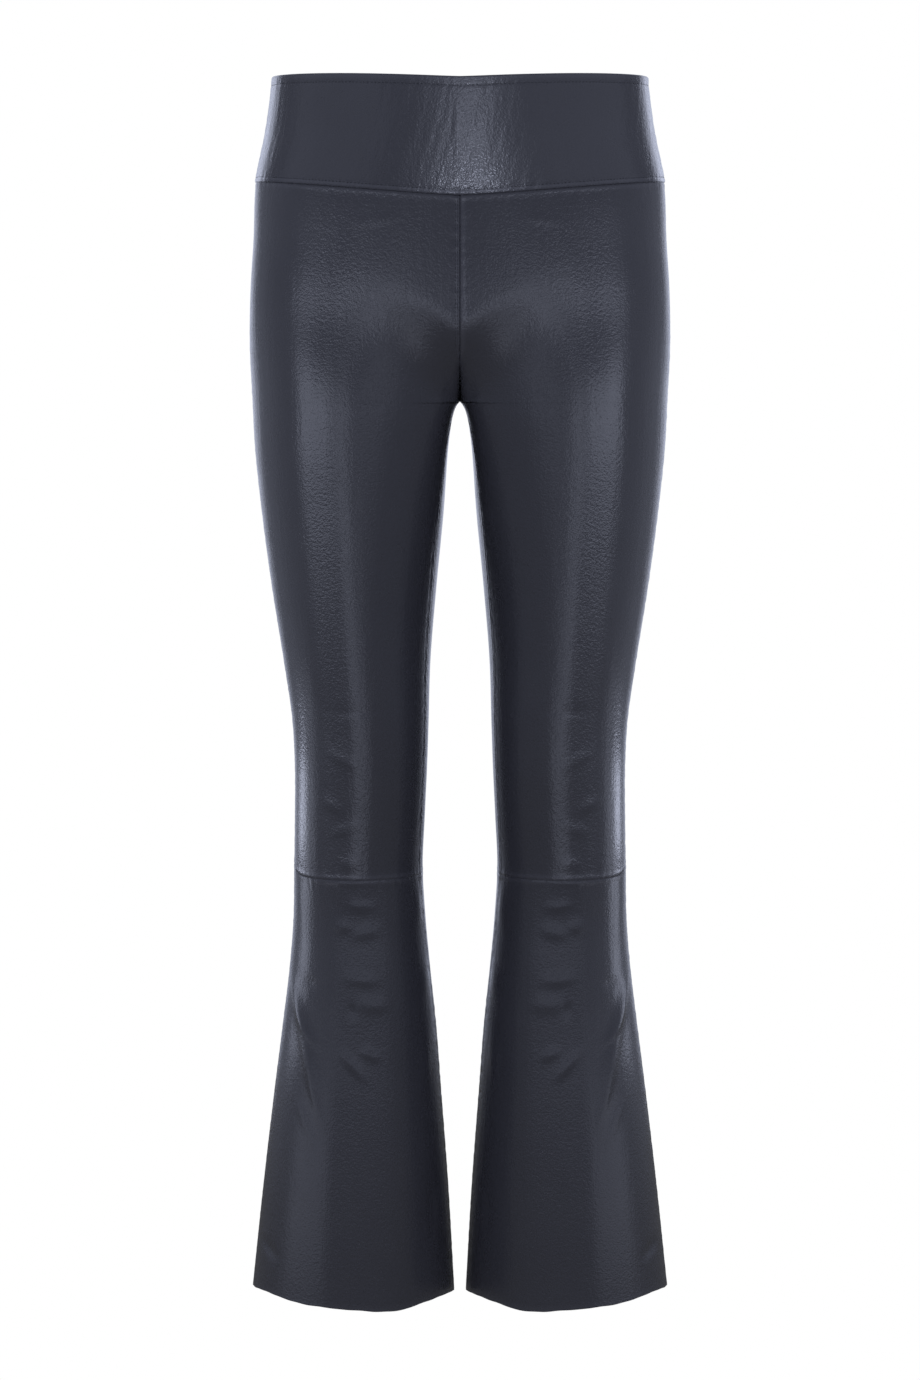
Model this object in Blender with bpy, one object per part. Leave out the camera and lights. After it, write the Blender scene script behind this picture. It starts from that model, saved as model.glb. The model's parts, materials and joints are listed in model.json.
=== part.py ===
"""Pull-on leather trousers: a wide shaped waistband, seams across below the knees and flared lower legs.

They are filled out as when worn, with nobody in them: the waist and both hems are open and the legs are
hollow. +Z is up, the front faces -Y and the wearer's left is +X. The origin is the middle of the waist
opening, where the wearer's waist holds the trousers up. Sizes are in millimetres until a point is placed.

Every cut piece is a wall of leather. Its outer face follows one form, given by the sections below, and the
pieces stop half a seam gap short of the line where they meet.
"""

from collections import namedtuple
from functools import lru_cache
from math import cos, exp, hypot, pi, radians, sin

import bmesh
import bpy
from mathutils import Vector
import numpy as np

MM = 0.001

# The cloth.
LEATHER = 1.2  # one layer of stretch leather
WAISTBAND_LEATHER = 2.0  # the waistband is made double
SEAM_GAP = 0.3

# Heights of the edges and of the crotch, below the top edge at the sides.
CROTCH = -250.5
WAIST_SEAM = -81.0
KNEE_SEAM = -619.5
HEM = -952.0

# How the edges run between the sides and the middle of a panel.
TOP_DIP_FRONT, TOP_DIP_BACK = 4.5, -4.0
WAIST_SEAM_DIP_FRONT, WAIST_SEAM_DIP_BACK = 12.8, 8.0
WAIST_SEAM_POINT = 1.1  # 1 is a straight-sided V, more is a round one
KNEE_SEAM_RISE = 6.5  # at the side seam
HEM_DROP, HEM_RISE = 1.5, 3.0  # in the middle of a panel, and at the side seam
SEAM_REACH = 60.0  # how far from a curved seam the rows beside it still follow it

# Above the crotch the two legs run together into one seat.
SIDE_JOIN = (54.0, 118.0)  # how far above the crotch they are one, near the centre seam and further out
CENTRE_REACH = 0.14  # the share of a panel beside the centre seam that lies level across it
CENTRE_JOIN, CENTRE_TURN = 50.0, 0.35  # how far above the crotch that seam starts to turn under, and how sharply
CROTCH_OPENS = 4.5  # how soon below the crotch the gap between the legs reaches its full width

# Levels cut through the left leg, and through its way up into the seat. x is from the centre line; y is from
# the origin. The widest points are outer and inner. Outer_corner and inner_corner are 1 for a round side, 2
# for a lens with a sharp one and less than 1 for a flat one. The inseam lies inseam_turn degrees round from
# the inner point towards the front.
Leg = namedtuple(
    "Leg", "height outer_x inner_x outer_y inner_y front_y back_y outer_corner inner_corner inseam_turn"
)
LEG = (
    Leg(12, 144.5, 5, 0, 0, -98, 110, 1.0, 0.55, 0),
    Leg(0, 145, 5, 0, 0, -98, 110, 1.0, 0.55, 0),  # top edge
    Leg(-40, 150, 5, 2, 0, -98, 112, 1.0, 0.55, 0),
    Leg(-82, 158.5, 5, 4, 2, -99, 114, 1.0, 0.55, 0),  # waist seam
    Leg(-125, 160.5, 5, 5, 3, -99, 116, 1.0, 0.55, 0),
    Leg(-165, 163, 5, 6, 4, -98, 118, 1.0, 0.55, 0),
    Leg(-205, 163.8, 5, 5, 4, -98.5, 115, 1.0, 0.3, 0),  # widest hip
    Leg(-250, 161.8, 5, 4, 4, -97, 106, 1.0, 0.3, 0),  # crotch
    Leg(-285, 160, 9, 2, 2, -94.5, 92, 1.0, 0.42, 12),
    Leg(-335, 154.8, 12.6, -1, -1, -90, 79, 1.0, 0.68, 20),
    Leg(-395, 146.8, 18.4, -4, -4, -84, 70, 1.0, 0.93, 20),
    Leg(-455, 137.2, 23.2, -8, -8, -78, 61, 1.0, 1.0, 19),
    Leg(-500, 130.8, 24.5, -11, -11, -73.5, 54, 1.0, 1.0, 18),
    Leg(-535, 129, 25.7, -12, -11, -70, 50, 1.0, 1.0, 18),  # knee
    Leg(-575, 129.2, 27.6, -9, -8, -65.5, 51, 1.0, 1.0, 18),
    Leg(-615, 130, 29.3, -4, -3, -62, 57, 1.02, 1.02, 16),  # knee seam
    Leg(-655, 130.8, 27.2, 0, 0, -60, 64, 1.06, 1.06, 12),
    Leg(-695, 134, 23.6, 2, 2, -61, 68, 1.12, 1.12, 8),  # fullest calf
    Leg(-735, 138.9, 19.4, 2, 2, -62, 70, 1.2, 1.2, 6),
    Leg(-795, 146.6, 14.9, 1, 1, -65, 71, 1.3, 1.3, 4),
    Leg(-865, 155, 9.6, 0, 0, -68, 71, 1.4, 1.4, 2),
    Leg(-952, 164.4, 4.6, 0, 0, -71, 71, 1.5, 1.5, 2),  # hem
)

# The seat above the crotch is as wide as the legs' outer points. Fullness is 2 for a plain ellipse.
Seat = namedtuple("Seat", "height front_y back_y fullness")
SEAT = (
    Seat(12, -98, 97, 2.1),
    Seat(0, -100, 99, 2.1),  # top edge
    Seat(-40, -105, 105, 2.1),
    Seat(-82, -107.5, 115, 2.3),  # waist seam
    Seat(-125, -107.5, 125, 2.5),
    Seat(-165, -106, 129, 2.65),  # fullest seat
    Seat(-205, -102.5, 122, 2.65),
    Seat(-250, -98, 98, 2.6),  # crotch
)

# The rows of points down a panel. The crotch has close ones, where the panels turn under.
UPPER_ROWS = (
    *(WAIST_SEAM, -96, -114, -134, -154, -174, -192, -207, -219, -229, -236.5, -242, -246, -249),
    *(CROTCH, -252, -256, -263, -274, -290, -312, -340, -372, -405, -438, -468, -494, -516),
    *(-536, -556, -576, -592, -606, KNEE_SEAM),
)
LOWER_ROWS = (
    *(KNEE_SEAM, -632, -648, -666, -684, -702, -720, -738, -756, -776, -802, -836, -876, -916, HEM),
)
PANEL_COLUMNS = 16
WAISTBAND_COLUMNS, WAISTBAND_ROWS = 32, 4
STEP = 0.01  # how far either side of a place the form is felt to find which way it faces

# The largest folds, seen square on: a ridge (or trough, where height is negative) from one end to the
# other, its middle let down by sag. A leg of "" is both.
FOLD_FADE = 0.1  # the share of a panel beside its seams where the folds fade out
Fold = namedtuple("Fold", "face leg start_x start_z end_x end_z sag height width")
FOLDS = (
    # Calf: two long folds fall from the side seam and fade towards the middle of the shin.
    Fold("front", "", 142, -706, 84, -812, 3, 2.6, 7),
    Fold("front", "", 143, -716, 108, -850, -4, 2.2, 8),
    # Shin: two soft swells under the knee seam.
    Fold("front", "", 118, -650, 52, -652, 2, 1.2, 9),
    Fold("front", "", 112, -699, 48, -694, -2, 1.4, 8),
    # Side of the calf, where the leather is drawn in below the knee.
    Fold("front", "", 138, -672, 118, -716, 0, -1.8, 9),
    # Behind the knees: the slack gathers in bows that hang between the seams.
    Fold("back", "left", 126, -508, 40, -516, 6, 3.0, 7),
    Fold("back", "left", 128, -534, 58, -546, 7, 3.4, 7),
    Fold("back", "left", 112, -566, 32, -560, 5, 2.8, 7),
    Fold("back", "left", 126, -588, 50, -594, 5, 2.4, 7),
    Fold("back", "right", 124, -512, 46, -508, 6, 2.8, 7),
    Fold("back", "right", 126, -540, 44, -536, 8, 3.4, 8),
    Fold("back", "right", 120, -564, 52, -574, 5, 2.8, 6),
    Fold("back", "right", 122, -592, 36, -586, 5, 2.6, 7),
    # Under the seat, and down from the calf to the flare.
    Fold("back", "left", 136, -262, 50, -284, 9, -2.6, 11),
    Fold("back", "right", 138, -266, 48, -282, 9, -2.4, 11),
    Fold("back", "left", 132, -690, 92, -806, 0, 2.4, 9),
    Fold("back", "right", 134, -696, 98, -822, 0, 2.2, 9),
)


@lru_cache(maxsize=None)
def sizes_of(table, column):
    """The heights of a table, rising, with one column of its sizes and how fast that changes at each height."""
    rows = sorted(table)
    heights = np.array([row.height for row in rows], float)
    sizes = np.array([getattr(row, column) for row in rows], float)
    return heights, sizes, np.gradient(sizes, heights)


def size_at(table, column, height):
    """One size of the form at any height, on a smooth curve through a table's levels."""
    heights, sizes, slopes = sizes_of(table, column)
    height = min(max(height, heights[0]), heights[-1])
    above = min(max(int(np.searchsorted(heights, height)), 1), len(heights) - 1)
    below = above - 1
    step = heights[above] - heights[below]
    t = (height - heights[below]) / step
    return float(
        sizes[below] * (1 + 2 * t) * (1 - t) ** 2
        + slopes[below] * step * t * (1 - t) ** 2
        + sizes[above] * t * t * (3 - 2 * t)
        + slopes[above] * step * t * t * (t - 1)
    )


def from_centre(across):
    """How far out a place lies, as a share of the half width: places are closer together beside the seams."""
    return (1 - cos(pi * across)) / 2


def on_centre_seam(across, height):
    return across == 0 and height > CROTCH - STEP


def crotch_pull(height):
    """How far the inside of the leg is drawn in to the centre line: all the way above the crotch, and under it
    less and less, which leaves an arch."""
    below = max((CROTCH - height) / CROTCH_OPENS, 0.0)
    return size_at(LEG, "inner_x", height) * exp(-below)


def seat_y_at(face, height, x):
    """How far forward or back the seat is at x: a quarter of the way round the whole body."""
    outer_x, outer_y = size_at(LEG, "outer_x", height), size_at(LEG, "outer_y", height)
    face_y, fullness = size_at(SEAT, f"{face}_y", height), size_at(SEAT, "fullness", height)
    inside = max(1 - abs(x / outer_x) ** fullness, 0.0)
    return outer_y + (face_y - outer_y) * inside ** (1 / fullness)


def leg_y_at(face, height, across_leg):
    """How far forward or back a leg is, with across_leg from -1 at its inner point to 1 at its outer one."""
    share = (1 + across_leg) / 2
    middle_y = size_at(LEG, "inner_y", height) * (1 - share) + size_at(LEG, "outer_y", height) * share
    corner = size_at(LEG, "inner_corner", height) * (1 - share) + size_at(LEG, "outer_corner", height) * share
    inside = max(1 - across_leg**2, 0.0)
    return middle_y + (size_at(LEG, f"{face}_y", height) - middle_y) * inside ** (corner / 2)


def joined_point(face, across, height):
    """A point of the left half's form, with the two legs run together but for the middle."""
    outer_x, inner_x = size_at(LEG, "outer_x", height), size_at(LEG, "inner_x", height)
    turn = radians(max(size_at(LEG, "inseam_turn", height), 0)) if height < CROTCH else 0

    # The angle runs round the leg: 0 at its outer point, forwards to the inner one and backwards to it.
    angle = (1 - across) * (pi - turn if face == "front" else -pi - turn)
    here = "front" if sin(angle) >= 0 else "back"
    x = (outer_x + inner_x) / 2 + (outer_x - inner_x) / 2 * cos(angle)
    x -= crotch_pull(height) * ((1 - cos(angle)) / 2) ** 20
    leg_y = leg_y_at(here, height, cos(angle))
    if height <= CROTCH:
        return Vector((x, leg_y, height)), leg_y
    side_join = SIDE_JOIN[0] + (SIDE_JOIN[1] - SIDE_JOIN[0]) * min(across / 0.5, 1.0)
    rise = min((height - CROTCH) / side_join, 1.0)
    seat_y = seat_y_at(here, height, x)
    return Vector((x, seat_y + (1 - rise**2) ** 3 * (leg_y - seat_y), height)), leg_y


def form_point(face, across, height):
    """A point of the left half's form. across is 0 at the centre seam or the inseam and 1 at the side seam, and
    past either of them it goes on round the other face. Beside the centre seam the leather lies level across it,
    down to where it turns under between the legs."""
    point, leg_y = joined_point(face, across, height)
    if height > CROTCH and across < CENTRE_REACH:
        edge, _ = joined_point(face, CENTRE_REACH, height)
        past, _ = joined_point(face, CENTRE_REACH + STEP, height)
        slope = (past.y - edge.y) / (past.x - edge.x)
        level_y = edge.y - slope * (edge.x**2 - point.x**2) / (2 * edge.x)
        turned = (1 - (1 - min((height - CROTCH) / CENTRE_JOIN, 1.0)) ** 2) ** CENTRE_TURN
        nearness = (1 - (across / CENTRE_REACH) ** 2) ** 2
        point.y = level_y + (leg_y - level_y) * nearness * (1 - turned)
    return point


def outwards_at(face, across, height):
    """The way the form faces there; on a seam, half way between the two pieces that meet at it."""
    if on_centre_seam(across, height) and height < CROTCH + STEP:
        return Vector((0, 0, -1))
    before = max(across - STEP, 0.0) if height > CROTCH else across - STEP
    sideways = form_point(face, across + STEP, height) - form_point(face, before, height)
    downwards = form_point(face, across, height - 0.5) - form_point(face, across, height + 0.5)
    outwards = downwards.cross(sideways) if face == "front" else sideways.cross(downwards)
    if on_centre_seam(across, height):
        outwards.x = 0
    return outwards.normalized()


def fold_height(face, leg, across, form):
    """How far the folds lift the leather off the form there. They fade out beside the seams."""
    lift = 0.0
    for fold in FOLDS:
        if fold.face != face or fold.leg not in ("", leg):
            continue
        run_x, run_z = fold.end_x - fold.start_x, fold.end_z - fold.start_z
        length = hypot(run_x, run_z)
        from_x, from_z = form.x - fold.start_x, form.z - fold.start_z
        along = (from_x * run_x + from_z * run_z) / length**2
        taper = 4 * along * (1 - along)
        if taper <= 0:
            continue
        aside = (from_x * run_z - from_z * run_x) / length + fold.sag * taper * run_x / length
        lift += fold.height * taper * exp(-((aside / fold.width) ** 2))
    return lift * min(1.0, across / FOLD_FADE, (1 - across) / FOLD_FADE)


def wall_point(face, leg, across, height, thickness):
    """The outer and inner point of a wall. Its inner face is a layer of leather inside the form, so a thicker
    wall stands out from the form, and a right leg's points are the left one's mirrored."""
    form = form_point(face, across, height)
    outwards = outwards_at(face, across, height)
    lift = thickness - LEATHER + fold_height(face, leg, across, form)
    pair = [form + outwards * lift, form + outwards * (lift - thickness)]
    if leg == "right":
        for point in pair:
            point.x = -point.x
    return pair


def top_edge(face, across):
    dip = TOP_DIP_FRONT if face == "front" else TOP_DIP_BACK
    return -dip * (1 - from_centre(across)) ** 1.5


def waist_seam(face, across):
    dip = WAIST_SEAM_DIP_FRONT if face == "front" else WAIST_SEAM_DIP_BACK
    return WAIST_SEAM - dip * (1 - from_centre(across) ** WAIST_SEAM_POINT)


def knee_seam(face, across):
    rise = exp(-(((1 - across) / 0.12) ** 2)) if face == "front" else across
    return KNEE_SEAM + KNEE_SEAM_RISE * rise


def hem_edge(face, across):
    """The height of the hem. In front it is cut lower inside the middle and higher by the side seam."""
    level = HEM - HEM_DROP * sin(pi * across) + HEM_RISE * across**3
    if face == "back":
        return level
    low = 3.8 * exp(-(((across - 0.36) / 0.12) ** 2)) + 1.2 * exp(-((across / 0.1) ** 2))
    return level - low + 2.2 * exp(-(((across - 0.8) / 0.11) ** 2))


def row_height(face, across, row, is_upper):
    """The height of a point of a row: beside a curved seam the rows follow it, and further off they are level."""
    if is_upper:
        edges = ((WAIST_SEAM, waist_seam, -SEAM_GAP / 2), (KNEE_SEAM, knee_seam, SEAM_GAP / 2))
    else:
        edges = ((KNEE_SEAM, knee_seam, -SEAM_GAP / 2), (HEM, hem_edge, 0))
    height = row
    for level, edge, gap in edges:
        follow = max(0.0, 1 - abs(row - level) / SEAM_REACH)
        height += (edge(face, across) + gap - level) * follow
    return height


def leather(name, colour):
    material = bpy.data.materials.new(name)
    material.use_nodes = True
    shader = material.node_tree.nodes["Principled BSDF"]
    shader.inputs["Base Color"].default_value = (*colour, 1)
    shader.inputs["Roughness"].default_value = 0.38
    shader.inputs["Metallic"].default_value = 0.0
    return material


def draw_back(row, end, inside, is_centre):
    """Moves the end of a row half a seam gap off its seam: sideways at a centre seam, or else along the row."""
    back = row[inside][0] - row[end][0]
    if is_centre:
        back = Vector((back.x, 0, 0))
    shift = back.normalized() * SEAM_GAP / 2
    row[end] = [point + shift for point in row[end]]


def wall(name, table, turned, material):
    """A piece of leather: a slab of as many squares as the table has, put on its outer and inner points."""
    columns, rows = len(table[0]) - 1, len(table) - 1
    slab = bmesh.new()
    bmesh.ops.create_grid(slab, x_segments=columns, y_segments=rows, size=1)
    under = bmesh.ops.extrude_face_region(slab, geom=slab.faces[:], use_keep_orig=True)["geom"]
    under_points = [item for item in under if isinstance(item, bmesh.types.BMVert)]
    bmesh.ops.translate(slab, verts=under_points, vec=(0, 0, -1))
    bmesh.ops.recalc_face_normals(slab, faces=slab.faces)
    for vert in slab.verts:
        column = round((vert.co.x + 1) / 2 * columns)
        row = round((1 - vert.co.y) / 2 * rows)
        is_inner = round(-vert.co.z)
        vert.co = table[row][column][is_inner] * MM
    if turned:
        bmesh.ops.reverse_faces(slab, faces=slab.faces)
    mesh = bpy.data.meshes.new(name)
    slab.to_mesh(mesh)
    slab.free()
    mesh.shade_smooth()
    mesh.set_sharp_from_angle(angle=radians(50))
    mesh.materials.append(material)
    bpy.context.collection.objects.link(bpy.data.objects.new(name, mesh))


def leg_panel(name, face, leg, rows, is_upper, material):
    """A front or back of one leg, from the waist to below the knee or from there to the hem."""
    table = []
    for row in rows:
        heights = [
            (column / PANEL_COLUMNS, row_height(face, column / PANEL_COLUMNS, row, is_upper))
            for column in range(PANEL_COLUMNS + 1)
        ]
        points = [wall_point(face, leg, across, height, LEATHER) for across, height in heights]
        draw_back(points, 0, 1, on_centre_seam(*heights[0]))
        draw_back(points, -1, -2, False)
        table.append(points)
    wall(name, table, (face == "front") != (leg == "left"), material)


def waistband(name, face, material):
    """A front or back of the waistband, from one side seam to the other."""
    table = []
    for row in range(WAISTBAND_ROWS + 1):
        points = []
        for column in range(WAISTBAND_COLUMNS + 1):
            share = 2 * column / WAISTBAND_COLUMNS - 1
            leg, across = ("left" if share >= 0 else "right"), abs(share)
            top, seam = top_edge(face, across), waist_seam(face, across) + SEAM_GAP / 2
            height = top + (seam - top) * row / WAISTBAND_ROWS
            points.append(wall_point(face, leg, across, height, WAISTBAND_LEATHER))
        draw_back(points, 0, 1, False)
        draw_back(points, -1, -2, False)
        table.append(points)
    wall(name, table, face == "back", material)


def clear_scene():
    for obj in list(bpy.data.objects):
        bpy.data.objects.remove(obj, do_unlink=True)


def main():
    clear_scene()
    band_leather = leather("waistband_leather", (0.037, 0.041, 0.055))
    upper_leather = leather("upper_leg_leather", (0.036, 0.040, 0.053))
    lower_leather = leather("lower_leg_leather", (0.034, 0.038, 0.050))
    for face in ("front", "back"):
        waistband(f"waistband_{face}", face, band_leather)
        for leg in ("left", "right"):
            leg_panel(f"{face}_upper_{leg}", face, leg, UPPER_ROWS, True, upper_leather)
            leg_panel(f"{face}_lower_{leg}", face, leg, LOWER_ROWS, False, lower_leather)


main()
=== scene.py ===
import json
import logging
from dataclasses import dataclass, fields
from enum import Enum
from math import cos, pi, radians, sin

import bmesh
import bpy
import numpy as np
from bpy.types import Material, Mesh, Node, NodeSocket, NodeTree, Object
from mathutils import Matrix, Vector

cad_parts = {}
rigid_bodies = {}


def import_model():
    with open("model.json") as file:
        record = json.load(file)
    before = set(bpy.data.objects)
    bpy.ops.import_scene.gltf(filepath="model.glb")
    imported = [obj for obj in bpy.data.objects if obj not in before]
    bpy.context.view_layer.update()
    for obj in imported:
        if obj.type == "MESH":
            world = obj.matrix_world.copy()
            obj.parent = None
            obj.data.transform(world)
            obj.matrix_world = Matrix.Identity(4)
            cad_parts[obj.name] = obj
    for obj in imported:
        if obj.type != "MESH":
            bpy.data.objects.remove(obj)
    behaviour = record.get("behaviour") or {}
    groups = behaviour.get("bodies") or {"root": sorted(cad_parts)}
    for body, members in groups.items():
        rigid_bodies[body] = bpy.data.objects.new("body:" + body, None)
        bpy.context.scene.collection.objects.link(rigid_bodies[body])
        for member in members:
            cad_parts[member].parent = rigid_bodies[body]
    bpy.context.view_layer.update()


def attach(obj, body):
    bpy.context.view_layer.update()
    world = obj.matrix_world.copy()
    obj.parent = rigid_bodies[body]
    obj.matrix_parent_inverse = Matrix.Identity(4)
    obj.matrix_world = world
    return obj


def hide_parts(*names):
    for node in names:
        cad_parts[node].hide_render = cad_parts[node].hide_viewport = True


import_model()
Array = np.ndarray

# Leather trousers, filled out as when worn. +Z is up, the front faces -Y and the wearer's left is +X. The
# origin is the middle of the waist opening. Sizes are in millimetres until a point goes into a mesh.
MM = 0.001
LOG = logging.getLogger("trousers")

LEATHER = 1.2
WAISTBAND_LEATHER = 2.0
CROTCH = -250.5
WAIST_SEAM = -81.0
KNEE_SEAM = -619.5
HEM = -952.0
SEAM_REACH = 60.0  # how far from a curved seam the rows beside it still follow it
PUCKER_SPACING, STITCH_SPACING = 9.0, 7.0  # how far apart the puckers beside seams and stitches are
ALLOWANCE, ALLOWANCE_WIDTH = 0.7, 2.5  # how much thicker an edge is, where its seam allowance lies inside
CREASE_FADE = 9.0  # how far from a side seam the creases have their full height
EDGE_STEPS = (0.0, 0.3, 0.7, 1.2, 1.8, 2.6, 3.6, 5.0)  # rows and columns lie closer beside an edge


class Face(Enum):
    """Which side of the body a panel covers."""

    FRONT = "front"
    BACK = "back"


class Leg(Enum):
    """Which leg a panel is on, as the wearer has it. The value mirrors x."""

    LEFT = 1
    RIGHT = -1


class Edge(Enum):
    """How the edge of a panel is finished. The value is how far from it the leather begins to roll in, and
    how deep it ends."""

    SEWN = (0.35, 0.08)
    CENTRE_SEAM = (0.5, 0.45)
    FOLDED = (1.1, 1.1)
    RAW = (1.0, 0.0)


class Region(Enum):
    """The surfaces of a panel, in the order of its material slots."""

    OUTSIDE = 0
    INSIDE = 1
    RIM = 2


# ---- the worn form ----


@dataclass(frozen=True)
class LegLevel:
    """A level cut through the left leg, and through its way up into the seat. x is from the centre line and y
    from the origin. A corner is 1 for a round side, 2 for a lens with a sharp one and less than 1 for a flat
    one. The inseam lies inseam_turn degrees round from the inner point towards the front."""

    height: float
    outer_x: float
    inner_x: float
    outer_y: float
    inner_y: float
    front_y: float
    back_y: float
    outer_corner: float
    inner_corner: float
    inseam_turn: float


@dataclass(frozen=True)
class SeatLevel:
    """A level cut through the seat above the crotch. Fullness is 2 for a plain ellipse."""

    height: float
    front_y: float
    back_y: float
    fullness: float


# The levels from the top down, with their sizes in the order given above.
LEG_LEVELS = (
    (12, 144.5, 5, 0, 0, -98, 110, 1, 0.55, 0),
    (0, 145, 5, 0, 0, -98, 110, 1, 0.55, 0),  # top edge
    (-40, 150, 5, 2, 0, -98, 112, 1, 0.55, 0),
    (-82, 158.5, 5, 4, 2, -99, 114, 1, 0.55, 0),  # waist seam
    (-125, 160.5, 5, 5, 3, -99, 116, 1, 0.55, 0),
    (-165, 163, 5, 6, 4, -98, 118, 1, 0.55, 0),
    (-205, 163.8, 5, 5, 4, -98.5, 115, 1, 0.3, 0),  # widest hip
    (-250, 161.8, 5, 4, 4, -97, 106, 1, 0.3, 0),  # crotch
    (-285, 160, 9, 2, 2, -94.5, 92, 1, 0.42, 12),
    (-335, 154.8, 12.6, -1, -1, -90, 79, 1, 0.68, 20),
    (-395, 146.8, 18.4, -4, -4, -84, 70, 1, 0.93, 20),
    (-455, 137.2, 23.2, -8, -8, -78, 61, 1, 1, 19),
    (-500, 130.8, 24.5, -11, -11, -73.5, 54, 1, 1, 18),
    (-535, 129, 25.7, -12, -11, -70, 50, 1, 1, 18),  # knee
    (-575, 129.2, 27.6, -9, -8, -65.5, 51, 1, 1, 18),
    (-615, 130, 29.3, -4, -3, -62, 57, 1.02, 1.02, 16),  # knee seam
    (-655, 130.8, 27.2, 0, 0, -60, 64, 1.06, 1.06, 12),
    (-695, 134, 23.6, 2, 2, -61, 68, 1.12, 1.12, 8),  # fullest calf
    (-735, 138.9, 19.4, 2, 2, -62, 70, 1.2, 1.2, 6),
    (-795, 146.6, 14.9, 1, 1, -65, 71, 1.3, 1.3, 4),
    (-865, 155, 9.6, 0, 0, -68, 71, 1.4, 1.4, 2),
    (-952, 164.4, 4.6, 0, 0, -71, 71, 1.5, 1.5, 2),  # hem
)
SEAT_LEVELS = (
    (12, -98, 97, 2.1),
    (0, -100, 99, 2.1),  # top edge
    (-40, -105, 105, 2.1),
    (-82, -107.5, 115, 2.3),  # waist seam
    (-125, -107.5, 125, 2.5),
    (-165, -106, 129, 2.65),  # fullest seat
    (-205, -102.5, 122, 2.65),
    (-250, -98, 98, 2.6),  # crotch
)


class SizeCurves:
    """Sizes that change with height, each on a smooth curve through its levels."""

    def __init__(self, kind: type, rows: tuple) -> None:
        """Draws the curves.

        Args:
            kind: the kind of level.
            rows: the sizes at each level.
        """
        rising = sorted((kind(*row) for row in rows), key=lambda level: level.height)
        self.heights = np.array([level.height for level in rising], float)
        self.sizes = {
            size.name: np.array([getattr(level, size.name) for level in rising], float)
            for size in fields(rising[0])
        }
        self.slopes = {name: np.gradient(sizes, self.heights) for name, sizes in self.sizes.items()}

    def at(self, name: str, height: Array) -> Array:
        """One size at any heights.

        Args:
            name: the size's name.
            height: the heights.

        Returns:
            The size at each height.
        """
        height = np.clip(height, self.heights[0], self.heights[-1])
        above = np.clip(np.searchsorted(self.heights, height), 1, len(self.heights) - 1)
        below = above - 1
        step = self.heights[above] - self.heights[below]
        t = (height - self.heights[below]) / step
        sizes, slopes = self.sizes[name], self.slopes[name]
        return (
            sizes[below] * (1 + 2 * t) * (1 - t) ** 2
            + slopes[below] * step * t * (1 - t) ** 2
            + sizes[above] * t * t * (3 - 2 * t)
            + slopes[above] * step * t * t * (t - 1)
        )


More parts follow.
